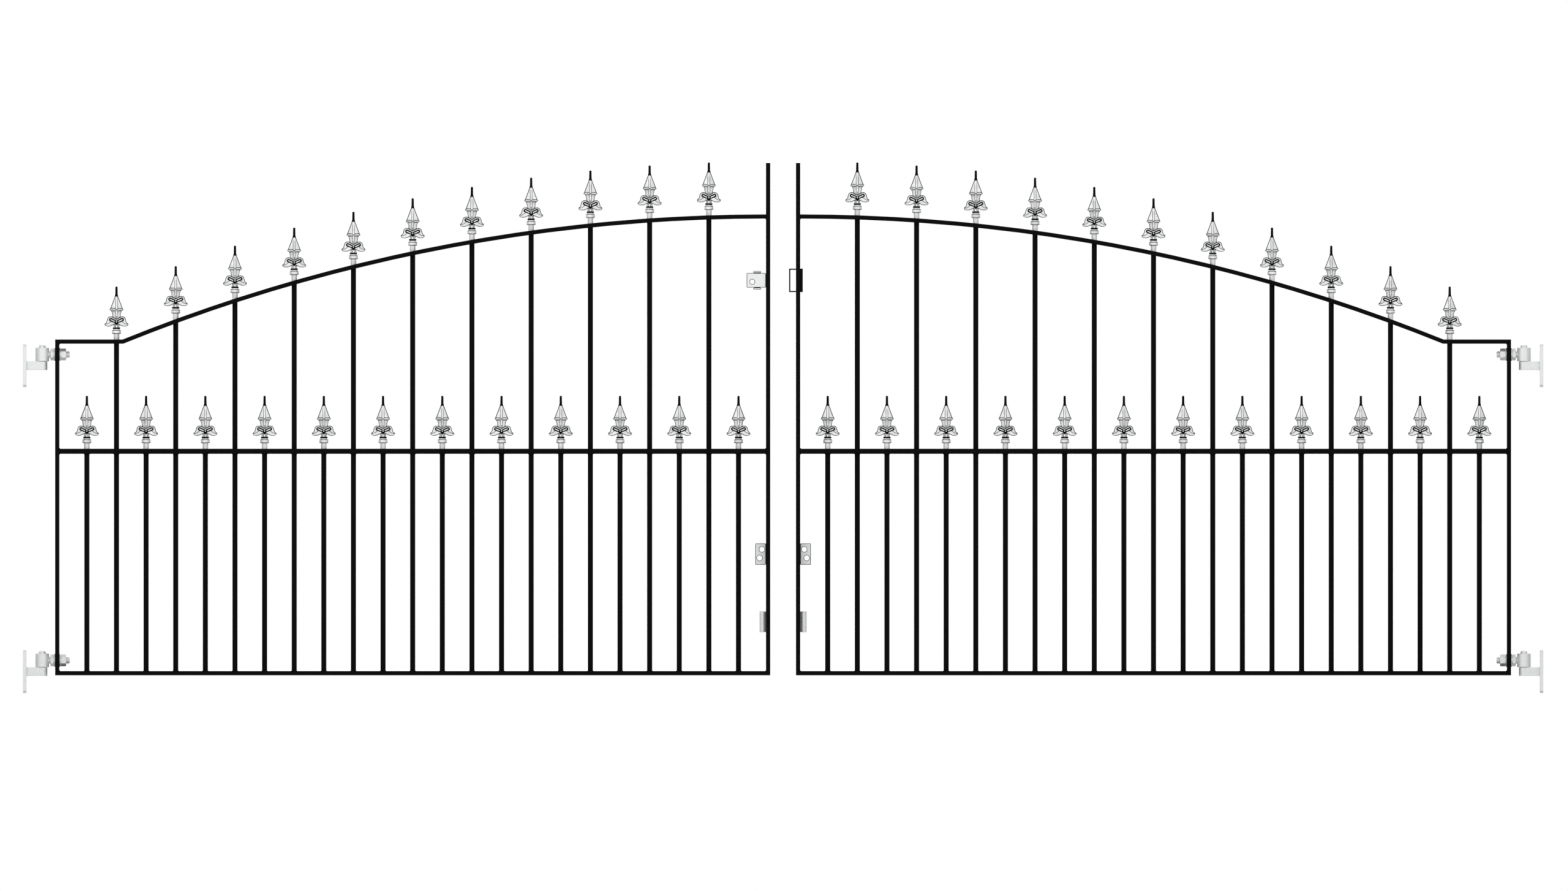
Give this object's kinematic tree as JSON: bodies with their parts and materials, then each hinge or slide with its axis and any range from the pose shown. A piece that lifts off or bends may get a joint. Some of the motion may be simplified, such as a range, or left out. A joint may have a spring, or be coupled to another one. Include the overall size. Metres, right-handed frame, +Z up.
{
  "type": "wrought iron driveway gate",
  "caption": "Pair of arched driveway gate leaves in flat and round bar with spear finials, dog bars, lock and keep, drop bolt guides and pin hinges on wall plates.",
  "frame": {"origin": "centre of the wall face of the lower left wall plate", "axes": "+X across the opening to the other wall, +Y away from the viewer, the way both leaves open, +Z up"},
  "size_m": [3.55, 0.04, 1.2381],
  "materials": {
    "black_powder_coat": "satin black powder coat on flat and round steel bar",
    "silver_casting": "pale silver paint on a sand casting, dark in its recesses",
    "zinc_plate": "bright zinc plate"
  },
  "bodies": {
    "wall_plates": {"left_upper_wall_plate": "zinc_plate", "left_lower_wall_plate": "zinc_plate", "right_upper_wall_plate": "zinc_plate", "right_lower_wall_plate": "zinc_plate"},
    "left_leaf": {"left_hanging_stile": "black_powder_coat", "left_meeting_stile": "black_powder_coat", "left_bottom_rail": "black_powder_coat", "left_middle_rail": "black_powder_coat", "left_top_rail": "black_powder_coat", "left_long_bars": "black_powder_coat", "left_dog_bars": "black_powder_coat", "left_long_bar_finials": "silver_casting", "left_dog_bar_finials": "silver_casting", "left_upper_hinge_eye": "zinc_plate", "left_lower_hinge_eye": "zinc_plate", "left_hinge_nuts": "zinc_plate", "left_hinge_washers": "zinc_plate", "left_drop_bolt_guide": "zinc_plate", "left_drop_bolt_hold_plate": "zinc_plate", "left_lock_case": "zinc_plate", "left_lock_lugs": "zinc_plate"},
    "right_leaf": {"right_hanging_stile": "black_powder_coat", "right_meeting_stile": "black_powder_coat", "right_bottom_rail": "black_powder_coat", "right_middle_rail": "black_powder_coat", "right_top_rail": "black_powder_coat", "right_long_bars": "black_powder_coat", "right_dog_bars": "black_powder_coat", "right_long_bar_finials": "silver_casting", "right_dog_bar_finials": "silver_casting", "right_upper_hinge_eye": "zinc_plate", "right_lower_hinge_eye": "zinc_plate", "right_hinge_nuts": "zinc_plate", "right_hinge_washers": "zinc_plate", "right_drop_bolt_guide": "zinc_plate", "right_drop_bolt_hold_plate": "zinc_plate", "right_lock_keep": "black_powder_coat", "right_keep_backing": "black_powder_coat"}
  },
  "joints": [
    {"name": "left_leaf_swing", "type": "hinge", "parent": "wall_plates", "child": "left_leaf", "pos_m": [0.045, 0, 0.0263], "axis": [0, 0, 1], "range_deg": [0, 90]},
    {"name": "right_leaf_swing", "type": "hinge", "parent": "wall_plates", "child": "right_leaf", "pos_m": [3.505, 0, 0.0263], "axis": [0, 0, -1], "range_deg": [0, 90]}
  ]
}
